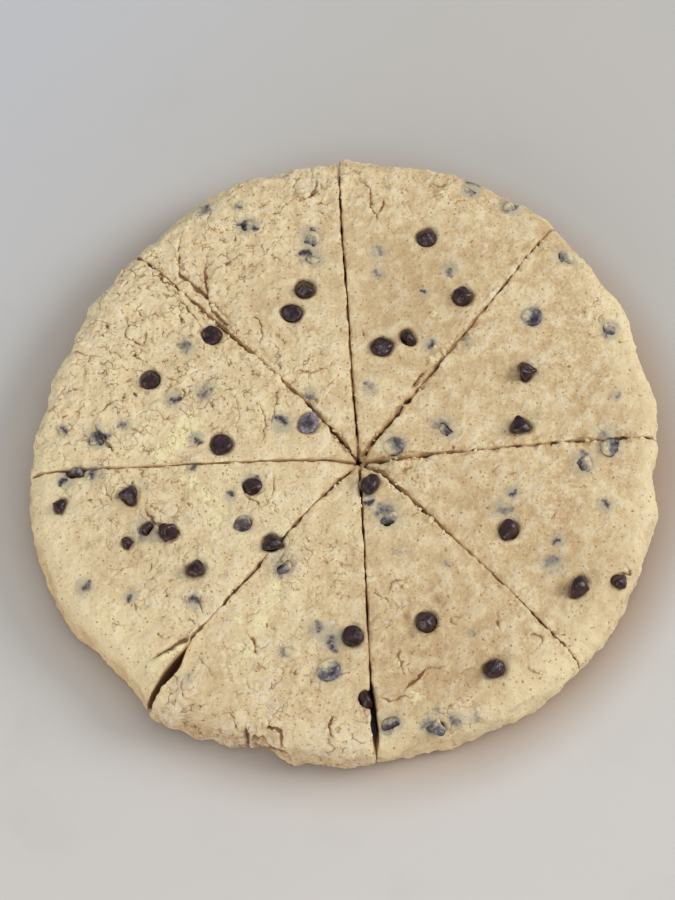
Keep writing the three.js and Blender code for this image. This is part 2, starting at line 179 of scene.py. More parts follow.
# Smears of chocolate under the skin, each with a dark heart.
STAINS = [
    (-11, 67, 2.4, 0.9), (-11, 60, 2.6, 0.9), (-29, 70.5, 2, 0.9), (-32.5, 70, 1.6, 0.8),
    (-33, 77, 1.5, 0.7), (-44, 77, 2.5, 0.7), (24, 47, 1.2, 0.9), (32, 55, 2.2, 0.7), (10, 61, 2.2, 0.6),
    (10, 54, 1.9, 0.6), (25.5, 30, 1.8, 0.8), (7, 15, 2.2, 0.6), (80, 35, 2.2, 0.7), (81, 13, 1.5, 0.6),
    (37, 31, 2.4, 0.5), (49, -18, 1.8, 0.8), (76, -22, 1.8, 0.8), (62, -33, 1.7, 0.8), (45.5, -23, 3, 0.6),
    (60, -40, 3.2, 0.6), (7, -21, 1.8, 0.9), (10, -24, 3, 0.6), (16, -37, 2.2, 0.4), (29, -40, 1.2, 0.6),
    (25.5, -84, 1.5, 0.5), (31, -86, 2.2, 0.65), (36.5, -86, 2.4, 0.5), (39, -90, 1.2, 0.9),
    (-4, -62.5, 3.2, 0.75), (-8.5, -60, 2.4, 0.7), (-17.5, -67, 1.9, 0.55), (-45, -74, 1.8, 0.45),
    (-43.5, -52, 2, 0.8), (-62, -50, 1.6, 0.8), (-76, -47, 2.2, 0.8), (-74, -12, 2.4, 0.8),
    (-45, -10, 1.6, 0.8), (-34, -19, 1.5, 0.8), (-82.5, -14, 2, 0.9), (-52, 12, 2.2, 0.8),
    (-48, 29, 2.4, 0.7), (-42, 14, 3.2, 0.6), (-84, 1.5, 1.7, 0.8), (-66, 3.5, 1.8, 0.7),
    (-44.5, -1, 1.8, 0.8), (-19, 4, 2.6, 0.8), (-11, 13, 2.2, 0.7), (36, -61, 1.4, 0.5), (29, 3, 3, 0.6),
    (56.5, 39, 2.8, 0.5), (70, -8, 3, 0.7), (78, -1.5, 4, 0.6), (14, -3, 3.5, 0.6), (12, -25, 3.6, 0.7),
    (-18.5, -40, 3.6, 0.6), (-28, -15, 2.4, 0.8), (-58, -30, 3.6, 0.6), (-5, -72, 3.8, 0.5),
    (40, 86, 3, 0.7), (52, 79, 3.4, 0.7), (-74, 0, 3, 0.7), (24, -88, 3, 0.6), (12, -88, 3, 0.6),
    (0, 67, 1.5, 0.3),
]
# Broad patches where the dough is darker.
DARK_PATCHES = [
    (25, -68, 27, 0.9), (19, 47, 24, 0.75), (70, -42, 22, 0.7), (38, -22, 20, 0.6), (80, 8, 20, 0.45),
    (45, 20, 20, 0.45), (10, -40, 14, 0.4), (-62, -34, 16, 0.4), (-25, 45, 16, 0.35), (-42, -84, 16, 0.5),
    (60, 62, 16, 0.4), (-8, -82, 14, 0.4), (-50, -86, 9, 0.5), (-38, -92, 9, 0.5), (-25, -96, 9, 0.5),
    (0, -98, 9, 0.4), (-22, -92.8, 3.6, 1.3), (-27, -95, 3, 0.9),
]
# Where the skin has dried and cracked into flakes: the left and top of the round most of all.
DRY = [
    (-65, 40, 30, 1), (-40, 20, 26, 0.9), (-75, 10, 24, 0.8), (-35, 65, 26, 0.8), (-8, 85, 14, 0.9),
    (-15, 25, 16, 0.8), (-60, -15, 28, 0.7), (-50, -45, 26, 0.55), (-20, -75, 24, 0.6), (-10, -40, 22, 0.6),
    (10, 80, 16, 0.5), (30, 86, 12, 0.6), (18, -60, 20, 0.45), (20, -12, 14, 0.5), (30, 50, 24, 0.25),
    (60, 20, 30, 0.22), (60, -30, 30, 0.25), (75, 40, 14, 0.4), (30, -82, 16, 0.5), (-25, -20, 14, 0.6),
    (-48, -86, 12, 1), (-28, -93, 12, 1), (0, -95, 12, 0.9),
]


# ------------------------------------------------------------------ small tools
def alone(obj):
    """Selects one object and makes it active, with nothing else selected."""
    bpy.ops.object.select_all(action="DESELECT")
    obj.select_set(True)
    bpy.context.view_layer.objects.active = obj


def settle(obj):
    """Puts the object's place, turn and size into its mesh."""
    alone(obj)
    bpy.ops.object.transform_apply(location=True, rotation=True, scale=True)


def finish_with(obj, kind, **settings):
    """Adds one modifier and applies it at once."""
    alone(obj)
    modifier = obj.modifiers.new(kind.title(), kind)
    for name, value in settings.items():
        setattr(modifier, name, value)
    bpy.ops.object.modifier_apply(modifier=modifier.name)


def points_of(mesh):
    """Vertex places in millimetres, one row each."""
    flat = np.empty(len(mesh.vertices) * 3, dtype=np.float64)
    mesh.vertices.foreach_get("co", flat)
    return flat.reshape(-1, 3) / MM


def normals_of(mesh):
    """Vertex normals, one row each."""
    flat = np.empty(len(mesh.vertices) * 3, dtype=np.float32)
    mesh.vertex_normals.foreach_get("vector", flat)
    return flat.reshape(-1, 3).astype(np.float64)


def move_points(mesh, points):
    """Puts the vertices at places given in millimetres."""
    mesh.vertices.foreach_set("co", (points * MM).ravel())
    mesh.update()


def keep(mesh, name, values):
    """Stores one number, or one vector, for each vertex."""
    vector = values.ndim == 2
    kind = "FLOAT_VECTOR" if vector else "FLOAT"
    attribute = mesh.attributes.get(name) or mesh.attributes.new(name, kind, "POINT")
    attribute.data.foreach_set("vector" if vector else "value", values.astype(np.float32).ravel())


def fade(values, low, high):
    """0 below low, 1 above high, and a smooth step between them."""
    share = np.clip((values - low) / (high - low), 0, 1)
    return share * share * (3 - 2 * share)


def patches(plan, rows):
    """The strongest of several round, soft-edged patches at each point."""
    total = np.zeros(len(plan))
    for x, y, radius, strength in rows:
        reach = np.hypot(plan[:, 0] - x, plan[:, 1] - y) / radius
        total = np.maximum(total, strength * np.exp(-reach ** 2))
    return total


def scramble(cells, seed):
    """A steady random number, 0 to 1, for each whole-number cell."""
    mixed = np.sin(cells @ np.array([127.1, 311.7, 74.7]) + 19.19 * seed) * 43758.5453
    return mixed - np.floor(mixed)


def cloud(points, size, seed=0):
    """Smooth random values, -1 to 1, with features about `size` millimetres across."""
    place = points / size
    corner = np.floor(place)
    t = place - corner
    t = t * t * (3 - 2 * t)
    total = np.zeros(len(points))
    for step in np.ndindex(2, 2, 2):
        share = np.prod(np.abs(1 - np.array(step) - t), axis=1)
        total += share * scramble(corner + step, seed)
    return 2 * total - 1


def polar(x, y, away, angle):
    """The place at a distance and an angle from another place."""
    return x + away * math.cos(angle), y + away * math.sin(angle)


def wander(plan, size, seed):
    """A sideways drift, so that a drawn line is never quite smooth."""
    flat = np.column_stack([plan, np.zeros(len(plan))])
    return np.column_stack([cloud(flat, size, seed), cloud(flat, size, seed + 50)])


def rounded_path(path, pieces=6):
    """The same path with its corners eased, as a denser line of points."""
    ends = [path[0], *path, path[-1]]
    line = []
    for a, b, c, d in zip(ends, ends[1:], ends[2:], ends[3:]):
        a, b, c, d = map(np.array, (a, b, c, d))
        for t in np.linspace(0, 1, pieces, endpoint=False):
            line.append(0.5 * (
                2 * b + (c - a) * t + (2 * a - 5 * b + 4 * c - d) * t ** 2
                + (3 * b - a - 3 * c + d) * t ** 3
            ))
    return np.array([*line, path[-1]])


def from_line(plan, line):
    """Distance to a line of points, which side of it each point is on, and how far along it."""
    near = np.full(len(plan), 1e9)
    side = np.zeros(len(plan))
    along = np.zeros(len(plan))
    for index, (start, end) in enumerate(zip(line, line[1:])):
        run = end - start
        offset = plan - start
        t = np.clip(offset @ run / (run @ run), 0, 1)
        gap = np.linalg.norm(offset - t[:, None] * run, axis=1)
        closer = gap < near
        near[closer] = gap[closer]
        side[closer] = np.sign(run[0] * offset[closer, 1] - run[1] * offset[closer, 0])
        along[closer] = (index + t[closer]) / (len(line) - 1)
    return near, side, along


# ------------------------------------------------------------------ node tools
class Pattern:
    """Adds nodes to one shader or geometry tree and joins them up."""

    def __init__(self, tree):
        self.tree = tree

    def node(self, kind, **settings):
        made = self.tree.nodes.new(kind)
        for name, value in settings.items():
            setattr(made, name, value)
        return made

    def feed(self, socket, value):
        if isinstance(value, bpy.types.NodeSocket):
            self.tree.links.new(value, socket)
        else:
            socket.default_value = value

    def maths(self, operation, a, b=0.0):
        made = self.node("ShaderNodeMath", operation=operation)
        self.feed(made.inputs[0], a)
        self.feed(made.inputs[1], b)
        return made.outputs[0]

    def add(self, a, b):
        return self.maths("ADD", a, b)

    def times(self, a, b):
        return self.maths("MULTIPLY", a, b)

    def less(self, value, limit):
        return self.maths("LESS_THAN", value, limit)

    def step(self, value, low, high, top=1.0):
        """0 at low and `top` at high, smooth between; low may be above high."""
        made = self.node("ShaderNodeMapRange", interpolation_type="SMOOTHSTEP")
        self.feed(made.inputs["Value"], value)
        made.inputs["From Min"].default_value = low
        made.inputs["From Max"].default_value = high
        made.inputs["To Max"].default_value = top
        return made.outputs[0]

    def noise(self, place, size, detail=2.0, rough=0.5, output="Fac"):
        """Cloudy noise whose features are about `size` across, in the units of the place."""
        made = self.node("ShaderNodeTexNoise", noise_dimensions="3D")
        self.feed(made.inputs["Vector"], place)
        made.inputs["Scale"].default_value = 1 / size
        made.inputs["Detail"].default_value = detail
        made.inputs["Roughness"].default_value = rough
        return made.outputs[output]

    def cells(self, place, size, feature="F1"):
        """Cells about `size` across, in the units of the place."""
        made = self.node("ShaderNodeTexVoronoi", voronoi_dimensions="3D", feature=feature)
        self.feed(made.inputs["Vector"], place)
        made.inputs["Scale"].default_value = 1 / size
        return made

    def shifted(self, place, size, amount):
        """The place pushed about by noise, so that cells lose their straight sides."""
        push = self.node("ShaderNodeVectorMath", operation="MULTIPLY_ADD")
        self.feed(push.inputs[0], self.noise(place, size, output="Color"))
        push.inputs[1].default_value = (amount,) * 3
        self.feed(push.inputs[2], place)
        return push.outputs[0]

    def first(self, colour):
        made = self.node("ShaderNodeSeparateXYZ")
        self.feed(made.inputs[0], colour)
        return made.outputs[0]

    def blend(self, share, a, b):
        """Colour a where share is 0 and b where it is 1."""
        made = self.node("ShaderNodeMix", data_type="RGBA")
        self.feed(made.inputs["Factor"], share)
        self.feed(made.inputs[6], a if isinstance(a, bpy.types.NodeSocket) else (*a, 1))
        self.feed(made.inputs[7], b if isinstance(b, bpy.types.NodeSocket) else (*b, 1))
        return made.outputs[2]

    def tinted(self, colour, *layers):
        """The colour under several tints, each given as its share and then the tint."""
        for share, tint in layers:
            colour = self.blend(share, colour, tint)
        return colour

    def bump(self, height, strength, shader):
        """Shades fine relief, whose height is given in millimetres."""
        made = self.node("ShaderNodeBump")
        made.inputs["Distance"].default_value = MM
        made.inputs["Strength"].default_value = strength
        self.feed(made.inputs["Height"], height)
        self.feed(shader.inputs["Normal"], made.outputs[0])


def flaky_skin(p, place, dry):
    """The pattern of patted dough: layered flakes, hairline cracks, streaks, pits and crumbs.

    The relief and the colour both use it, so the painted shade in a crack falls exactly where it is deep.
    """
    bent = p.shifted(place, size=4, amount=2.4)
    dryness = p.step(dry, 0.12, 0.75)
    patchy = p.noise(place, size=6, detail=1)
    gate = p.times(p.step(patchy, 0.42, 0.58), dryness)
    sheet = p.noise(bent, size=7, detail=2, rough=0.5)
    layers, ledge = 0.0, 0.0
    for level in (0.41, 0.5, 0.59):
        layers = p.add(layers, p.step(sheet, level - 0.006, level + 0.006))
        apart = p.maths("ABSOLUTE", p.add(sheet, -level))
        ledge = p.add(ledge, p.step(apart, 0.009, 0.002))
    short = p.noise(place, size=1.7, detail=1)
    broken = p.step(short, 0.5, 0.6)

    web = p.cells(p.shifted(place, size=1.8, amount=2.0), 3.4, "DISTANCE_TO_EDGE").outputs["Distance"]
    chosen = p.noise(place, size=3.2, detail=2)
    hair_gate = p.times(p.step(chosen, 0.52, 0.6), p.add(0.2, p.times(dryness, 0.8)))
    hair = p.times(p.step(web, 0.055, 0.01), hair_gate)

    turned = p.node("ShaderNodeVectorRotate", rotation_type="Z_AXIS")
    p.feed(turned.inputs["Vector"], place)
    turned.inputs["Angle"].default_value = -0.95
    drawn = p.node("ShaderNodeVectorMath", operation="MULTIPLY")
    p.feed(drawn.inputs[0], turned.outputs[0])
    drawn.inputs[1].default_value = (0.22, 1.0, 1.0)
    ribbon = p.noise(p.shifted(drawn.outputs[0], size=3, amount=0.8), size=1.7, detail=2)
    where = p.noise(place, size=11, detail=1)
    streaks = p.times(p.step(ribbon, 0.57, 0.66), p.step(where, 0.47, 0.6))

    pores = p.cells(place, 2.2)
    is_pore = p.less(p.first(pores.outputs["Color"]), 0.5)
    pits = p.times(p.step(pores.outputs["Distance"], 0.17, 0.06), is_pore)

    grains = p.cells(p.shifted(place, size=0.8, amount=0.5), 1.7)
    is_grain = p.less(p.first(grains.outputs["Color"]), p.add(p.times(dry, 0.3), 0.12))
    crumbs = p.times(p.step(grains.outputs["Distance"], 0.3, 0.1), is_grain)
    return {
        "layers": p.times(layers, gate), "ledge": p.times(p.times(ledge, gate), broken), "hair": hair,
        "streaks": streaks, "pits": pits, "crumbs": crumbs,
    }


def relief_tree():
    """Geometry nodes that raise and lower the patted skin by the pattern."""
    tree = bpy.data.node_groups.new("dough_relief", "GeometryNodeTree")
    tree.interface.new_socket("Geometry", in_out="INPUT", socket_type="NodeSocketGeometry")
    tree.interface.new_socket("Geometry", in_out="OUTPUT", socket_type="NodeSocketGeometry")
    p = Pattern(tree)
    entry = p.node("NodeGroupInput")
    leave = p.node("NodeGroupOutput")

    def stored(name, kind="FLOAT"):
        made = p.node("GeometryNodeInputNamedAttribute", data_type=kind)
        made.inputs["Name"].default_value = name
        return made.outputs["Attribute"]

    place = stored("rest", "FLOAT_VECTOR")
    dry = stored("dry")
    skin = flaky_skin(p, place, dry)
    swell = p.noise(place, size=15, detail=2)
    lumps = p.noise(place, size=4.5, detail=3, rough=0.6)
    grain = p.noise(place, size=1.2, detail=2, rough=0.6)
    height = p.times(p.add(swell, -0.5), 2.2)
    for share, amount in (
        (p.add(lumps, -0.5), 1.5),
        (p.times(p.add(grain, -0.5), p.add(0.55, p.times(dry, 0.45))), 0.8),
        (skin["layers"], 0.3),
        (skin["ledge"], -0.16),
        (skin["hair"], -0.32),
        (skin["streaks"], 0.13),
        (skin["pits"], -0.22),
        (skin["crumbs"], 0.17),
    ):
        height = p.add(height, p.times(share, amount))
    push = p.node("ShaderNodeVectorMath", operation="SCALE")
    p.feed(push.inputs[0], p.node("GeometryNodeInputNormal").outputs[0])
    p.feed(push.inputs["Scale"], p.times(p.times(height, stored("skin")), MM))
    move = p.node("GeometryNodeSetPosition")
    p.feed(move.inputs["Geometry"], entry.outputs[0])
    p.feed(move.inputs["Offset"], push.outputs[0])
    p.feed(leave.inputs[0], move.outputs[0])
    return tree


# ------------------------------------------------------------------ materials
CREAM = (0.93, 0.82, 0.56)
PALE = (0.825, 0.66, 0.378)
TAN = (0.64, 0.435, 0.215)
BROWN = (0.42, 0.215, 0.09)
DUST = (0.91, 0.81, 0.67)
BUTTER_YELLOW = (0.97, 0.875, 0.50)


def new_material(name, shine):
    """A material, the pattern that fills its tree, and its shader."""
    material = bpy.data.materials.new(name)
    material.use_nodes = True
    shader = material.node_tree.nodes["Principled BSDF"]
    shader.inputs["Specular IOR Level"].default_value = shine
    return material, Pattern(material.node_tree), shader


def dough_material():
    """Raw dough, coloured by the marks that make_wedge keeps on the skin."""
    material, p, shader = new_material("scone_dough", shine=0.3)

    def stored(name, output="Fac"):
        return p.node("ShaderNodeAttribute", attribute_name=name).outputs[output]

    place = stored("rest", "Vector")
    dry, flour, butter = stored("dry"), stored("flour"), stored("butter")
    tear, cut, seat_and_shade, worn = stored("tear"), stored("cut"), stored("seat_and_shade"), stored("worn")
    halo, core, pale_and_painted_light, dark_patch_and_shade = stored("halo"), stored("core"), stored("pale_and_painted_light"), stored("dark_patch_and_shade")
    skin = flaky_skin(p, place, dry)

    broad = p.noise(place, size=12, detail=3, rough=0.55)
    middle = p.noise(place, size=4.5, detail=3, rough=0.6)
    small = p.noise(place, size=1.0, detail=3, rough=0.65)
    hue = p.noise(place, size=2.6, detail=3, rough=0.6)
    colour = p.blend(p.step(broad, 0.38, 0.60), (0.72, 0.53, 0.29), PALE)
    colour = p.tinted(
        colour,
        (p.step(middle, 0.5, 0.62, 0.7), CREAM),
        (p.step(middle, 0.48, 0.36, 0.7), TAN),
        (p.step(hue, 0.53, 0.66, 0.4), (0.87, 0.73, 0.40)),
        (p.step(hue, 0.47, 0.34, 0.35), (0.80, 0.62, 0.43)),
        (p.step(small, 0.53, 0.64, 0.6), CREAM),
        (p.step(small, 0.46, 0.34, 0.6), TAN),
        (p.times(skin["streaks"], 0.6), (0.92, 0.84, 0.62)),
        # Lighter towards the left, and painted light on the sunlit rim.
        (p.times(pale_and_painted_light, 0.45), (0.94, 0.80, 0.50)),
        # Darker patches, with painted shade in the pressed hollows and on the lower side wall towards the
        # front left.
        (p.times(dark_patch_and_shade, 0.55), (0.585, 0.40, 0.205)),
    )
    mottled = p.times(dark_patch_and_shade, p.step(middle, 0.6, 0.4))
    colour = p.blend(p.times(mottled, 0.55), colour, (0.57, 0.39, 0.20))

    dusty = p.noise(place, size=1.9, detail=4, rough=0.7)
    dusted = p.step(p.add(dusty, p.add(p.times(flour, 0.14), p.times(dry, 0.045))), 0.61, 0.7)
    colour = p.blend(p.times(dusted, 0.5), colour, DUST)

    soft = p.noise(place, size=2.4, detail=3, rough=0.65)
    buttery = p.step(p.add(p.times(butter, 0.5), p.times(soft, 0.8)), 0.57, 0.76)
    colour = p.blend(p.times(buttery, 0.8), colour, BUTTER_YELLOW)

    for size, chance, reach, share in (
        (1.6, 0.5, 0.23, 0.85), (1.1, 0.4, 0.25, 0.65), (2.6, 0.4, 0.19, 0.85),
    ):
        bran = p.cells(p.shifted(place, size=0.6, amount=0.4), size)
        is_bran = p.less(p.first(bran.outputs["Color"]), chance)
        speck = p.times(p.step(bran.outputs["Distance"], reach, reach * 0.45), is_bran)
        colour = p.blend(p.times(speck, share), colour, BROWN)

    # Painted shade in the pits, flake edges, hairline cracks and tears.
    colour = p.tinted(
        colour,
        (p.times(skin["pits"], 0.5), (0.47, 0.26, 0.11)),
        (p.times(skin["ledge"], 0.65), (0.52, 0.28, 0.12)),
        (p.times(skin["hair"], 0.8), (0.40, 0.19, 0.075)),
        (p.step(tear, 0.3, 0.9, 0.9), (0.31, 0.145, 0.06)),
    )
    # Painted shade on the cut walls: brown, darker further down the cut.
    apart = p.node("ShaderNodeSeparateXYZ")
    p.feed(apart.inputs[0], place)
    shade_deeper_in_cut = p.step(apart.outputs[2], TOP - 0.8, TOP - 5)
    wall = p.blend(shade_deeper_in_cut, (0.70, 0.50, 0.28), (0.40, 0.23, 0.105))
    colour = p.tinted(
        colour,
        (p.times(cut, 0.9), wall),
        (p.times(worn, 0.4), (0.62, 0.41, 0.21)),
        # Painted contact shade: a dark brown ring about each chip, and painted shade in the pressed
        # hollows.
        (p.step(seat_and_shade, 0.1, 0.9, 0.6), (0.36, 0.205, 0.095)),
    )

    smudge = p.noise(place, size=1.1, detail=3, rough=0.7)
    ghost = p.step(p.add(p.times(halo, 0.8), p.times(smudge, 0.6)), 0.38, 0.84)
    colour = p.blend(p.times(ghost, 0.72), colour, (0.46, 0.425, 0.305))
    heart = p.add(p.times(core, 0.8), p.times(smudge, 0.6))
    colour = p.tinted(
        colour,
        (p.step(heart, 0.48, 0.8, 0.8), (0.235, 0.205, 0.20)),
        (p.step(heart, 0.74, 0.95, 0.92), (0.05, 0.03, 0.04)),
    )
    p.feed(shader.inputs["Base Color"], colour)

    rough = p.add(0.72, p.times(dusted, 0.2))
    p.feed(shader.inputs["Roughness"], p.add(rough, p.times(buttery, -0.22)))

    fine_grain = p.noise(place, size=0.5, detail=3, rough=0.7)
    depth = p.times(fine_grain, 0.26)
    for share, amount in (
        (skin["hair"], -0.14), (skin["ledge"], -0.1), (dusted, 0.06), (skin["crumbs"], 0.05), (tear, -0.12),
        (skin["layers"], 0.1),
    ):
        depth = p.add(depth, p.times(share, amount))
    p.bump(depth, 1.0, shader)
    return material


def chocolate_material():
    """Dark chocolate under flour, with dough over the covered side of a chip."""
    material, p, shader = new_material("dark_chocolate", shine=0.5)
    metres = p.node("ShaderNodeTexCoord").outputs["Object"]
    scale = p.node("ShaderNodeVectorMath", operation="SCALE")
    p.feed(scale.inputs[0], metres)
    scale.inputs["Scale"].default_value = 1 / MM
    place = scale.outputs[0]
    floury = p.node("ShaderNodeAttribute", attribute_name="floury").outputs["Fac"]
    covered = p.node("ShaderNodeAttribute", attribute_name="covered").outputs["Fac"]

    haze = p.noise(place, size=2.4, detail=4, rough=0.65)
    colour = p.blend(p.step(haze, 0.4, 0.66), (0.018, 0.0045, 0.0055), (0.056, 0.02, 0.026))
    powder = p.noise(place, size=1.0, detail=4, rough=0.7)
    misted = p.step(p.add(p.times(powder, 0.8), p.times(floury, 0.6)), 0.6, 1.02)
    colour = p.blend(p.times(misted, 0.8), colour, (0.235, 0.215, 0.255))
    dusted = p.step(p.add(powder, p.times(floury, 0.3)), 0.78, 0.9)
    colour = p.blend(p.times(dusted, 0.6), colour, (0.55, 0.50, 0.50))
    clot = p.noise(place, size=1.6, detail=4, rough=0.65)
    veil = p.add(covered, p.times(p.add(clot, -0.5), 1.5))
    colour = p.tinted(
        colour,
        (p.step(veil, 0.15, 0.4), (0.105, 0.09, 0.10)),
        (p.step(veil, 0.36, 0.62), (0.34, 0.32, 0.25)),
    )
    doughy = p.step(veil, 0.62, 0.95)
    colour = p.blend(doughy, colour, (0.72, 0.60, 0.39))
    p.feed(shader.inputs["Base Color"], colour)
    rough = p.add(p.add(0.17, p.times(haze, 0.26)), p.times(misted, 0.3))
    p.feed(shader.inputs["Roughness"], p.add(rough, p.step(veil, 0.15, 0.6, 0.4)))
    grain = p.noise(place, size=0.6, detail=3, rough=0.6)
    lift = p.add(p.times(grain, 0.16), p.add(p.times(dusted, 0.08), p.times(doughy, 0.25)))
    p.bump(lift, 0.6, shader)
    return material


def paper_material():
    """Pale paper with painted light and shade: lighter towards the near side, cooler on the far left, and a
    painted contact shadow about the round; its places are in metres.
    """
    material, p, shader = new_material("pale_paper", shine=0.3)
    place = p.node("ShaderNodeTexCoord").outputs["Object"]
    broad = p.noise(place, size=0.16, detail=3)
    apart = p.node("ShaderNodeSeparateXYZ")
    p.feed(apart.inputs[0], place)
    # Painted light: the paper is painted lighter towards the near side, mixed with random tone.
    near = p.step(apart.outputs[1], 0.12, -0.22)
    tone = p.add(p.times(broad, 0.4), p.times(near, 0.8))
    colour = p.blend(p.step(tone, 0.1, 1.1), (0.57, 0.555, 0.525), (0.70, 0.675, 0.65))
    # Painted cool light: the paper on the far left is painted bluer.
    painted_cool_light_far_left = p.step(p.add(p.times(apart.outputs[1], 0.7), p.times(apart.outputs[0], -1)), 0.06, 0.24)
    colour = p.blend(p.times(painted_cool_light_far_left, 0.8), colour, (0.605, 0.625, 0.67))
    mottle = p.noise(place, size=0.035, detail=5, rough=0.6)
    colour = p.blend(p.step(mottle, 0.52, 0.72, 0.14), colour, (0.50, 0.49, 0.48))
    # Painted contact shade: a warm dark ring on the paper close about the round, stronger on the right.
    length = p.node("ShaderNodeVectorMath", operation="LENGTH")
    p.feed(length.inputs[0], place)
    painted_contact_shade = p.step(length.outputs["Value"], 0.114, 0.092)
    contact_shade_share = p.add(0.4, p.step(apart.outputs[0], -0.03, 0.07, 0.6))
    colour = p.blend(p.times(painted_contact_shade, contact_shade_share), colour, (0.42, 0.32, 0.245))
    p.feed(shader.inputs["Base Color"], colour)
    shader.inputs["Roughness"].default_value = 0.62
    return material


# ------------------------------------------------------------------ dough
HUB = (3.6, -8.6)
HUB_CRUMBS = 34
CRACK_TRIES = 1500
# The two cuts that bound each wedge.
SIDES = {
    "wedge_nnw": ("north_west", "north"), "wedge_nne": ("north", "north_east"),
    "wedge_ene": ("north_east", "east"), "wedge_ese": ("east", "south_east"),
    "wedge_sse": ("south_east", "south"), "wedge_ssw": ("south", "south_west"),
    "wedge_wsw": ("south_west", "west"), "wedge_wnw": ("west", "north_west"),
}
# How ragged the knife left the edges of each cut, and how far its walls have sagged together.
CUT_EDGES = {
    "north": (0.45, 0.22), "north_east": (0.8, 0.32), "east": (1.0, 0.17), "south_east": (0.85, 0.2),
    "south": (0.35, 0.17), "south_west": (0.6, 0.13), "west": (0.35, 0.12), "north_west": (0.9, 0.27),
}
# The direction square to the south-west cut, towards the south-east.
OVER_SOUTH_WEST = np.array([0.75, -0.66])
# The side of the small faces that each wedge is remeshed to.
FACE_SIZE = 0.6
# The crease behind the lip of dough that the knife rolled up beside the open cut.
LIP = np.array([(-44.6, -62), (-48.4, -64.2), (-52.4, -66.8), (-57, -70.2)])


def crumbs_along(path, spacing, size, spread, chance):
    """Places and sizes of crumbs torn up along a cut, on both of its sides."""
    line = rounded_path(path)
    for start, end in zip(line, line[1:]):
        run = end - start
        across = np.array([-run[1], run[0]]) / np.linalg.norm(run)
        for _ in range(max(1, round(np.linalg.norm(run) / spacing))):
            if chance.random() > 0.48:
                continue
            side = chance.choice((-1, 1)) * (0.55 + spread * chance.random() ** 2)
            x, y = start + run * chance.random() + across * side
            yield x, y, size * (0.45 + 0.8 * chance.random() ** 2)


def add_lump(x, y, z, size, squash, turn, rounds=2):
    """A small rounded lump of dough, ready to be joined to a wedge."""
    bpy.ops.mesh.primitive_ico_sphere_add(
        subdivisions=rounds, radius=size * MM, location=(x * MM, y * MM, z * MM),
        rotation=(0, 0, turn), scale=squash,
    )
    return bpy.context.object


def wedge_at(x, y):
    """The wedge whose sector holds a place in plan."""
    gaps = {name: np.min(np.hypot(plan_of[name][:, 0] - x, plan_of[name][:, 1] - y)) for name in WEDGES}
    return min(gaps, key=gaps.get)


def lumps_for_wedges():
    """Torn lumps, listed under the wedge that each is fused with."""
    rows = {name: [] for name in WEDGES}
    # the torn edge close to the middle of the north-east cut
    for x, y, size in ((12.5, 6, 1.3), (15, 9.5, 1.1), (19.5, 14, 1.2), (21.5, 17.5, 1), (10, 2.5, 1.1)):
        rows[wedge_at(x - 1, y + 1)].append((x, y, TOP - 2.2, size, (1, 0.8, 0.8), 0.8))
    # dough torn and left between the tips of the wedges
    chance = random.Random(41)
    for number in range(20):
        away = 0.8 + 7.5 * chance.random()
        x, y = polar(*HUB, away, 2.4 * number)
        drop, size = chance.uniform(1.6, 4.2) + 0.8 * (away < 3), chance.uniform(1.1, 2.1)
        rows[wedge_at(x, y)].append((x, y, TOP - drop, size, (1.3, 0.85, 0.8), 5 * chance.random()))
    return rows


def loose_crumbs():
    """Small crumbs that stand on the skin beside the cuts, listed under their wedge."""
    chance = random.Random(23)
    rows = {name: [] for name in WEDGES}
    for cut, spacing, size, spread in (
        ("east", 0.55, 0.8, 1.3), ("north_east", 0.9, 0.75, 1.5), ("north_west", 1.0, 0.8, 1.8),
        ("south_west", 1.6, 0.65, 1.4), ("south_east", 0.9, 0.65, 1.2), ("north", 3.0, 0.6, 1.0),
        ("west", 3.0, 0.6, 1.0), ("south", 2.6, 0.6, 1.1),
    ):
        for x, y, bulk in crumbs_along(CUT_PATHS[cut], spacing, size, spread, chance):
            if cut != "south" or y > -72:
                rows[wedge_at(x, y)].append((x, y, bulk))
    for _ in range(HUB_CRUMBS):
        around = chance.uniform(0, 2 * math.pi)
        x, y = polar(*HUB, 2.5 + 11 * chance.random(), around)
        rows[wedge_at(x, y)].append((x, y, 0.35 + 0.5 * chance.random() ** 2))
    for x, y, bulk in CRUMBS:
        rows[wedge_at(x, y)].append((x, y, bulk))
    return rows


def crooked_path(x, y, steps, chance):
    """A short path that turns at every step."""
    heading = chance.uniform(0, 2 * math.pi)
    path = [(x, y)]
    for _ in range(steps):
        stride = chance.uniform(0.7, 2.0)
        heading += chance.uniform(-0.95, 0.95)
        x, y = polar(x, y, stride, heading)
        path.append((x, y))
    return path


def scatter_cracks():
    """Small cracks of the dried skin, most of them on the left and far side of the round."""
    chance = random.Random(5)
    rows = []
    for _ in range(CRACK_TRIES):
        around = chance.uniform(0, 2 * math.pi)
        x, y = polar(0, 0, 95 * math.sqrt(chance.random()), around)
        dry = patches(np.array([[x, y]]), DRY)[0]
        if chance.random() > 0.03 + 0.26 * dry ** 1.5:
            continue
        half_width = chance.uniform(0.1, 0.2 + 0.16 * dry)
        depth = chance.uniform(0.25, 0.5 + 0.4 * dry)
        lift = chance.choice((-1, 1)) * chance.uniform(0.1, 0.3 + 0.2 * dry)
        path = crooked_path(x, y, chance.randint(1, 4), chance)
        rows.append((path, half_width, depth, lift))
        if chance.random() < 0.35:
            fork = crooked_path(*chance.choice(path), chance.randint(1, 2), chance)
            rows.append((fork, half_width * 0.8, depth * 0.8, lift * 0.5))
    return rows


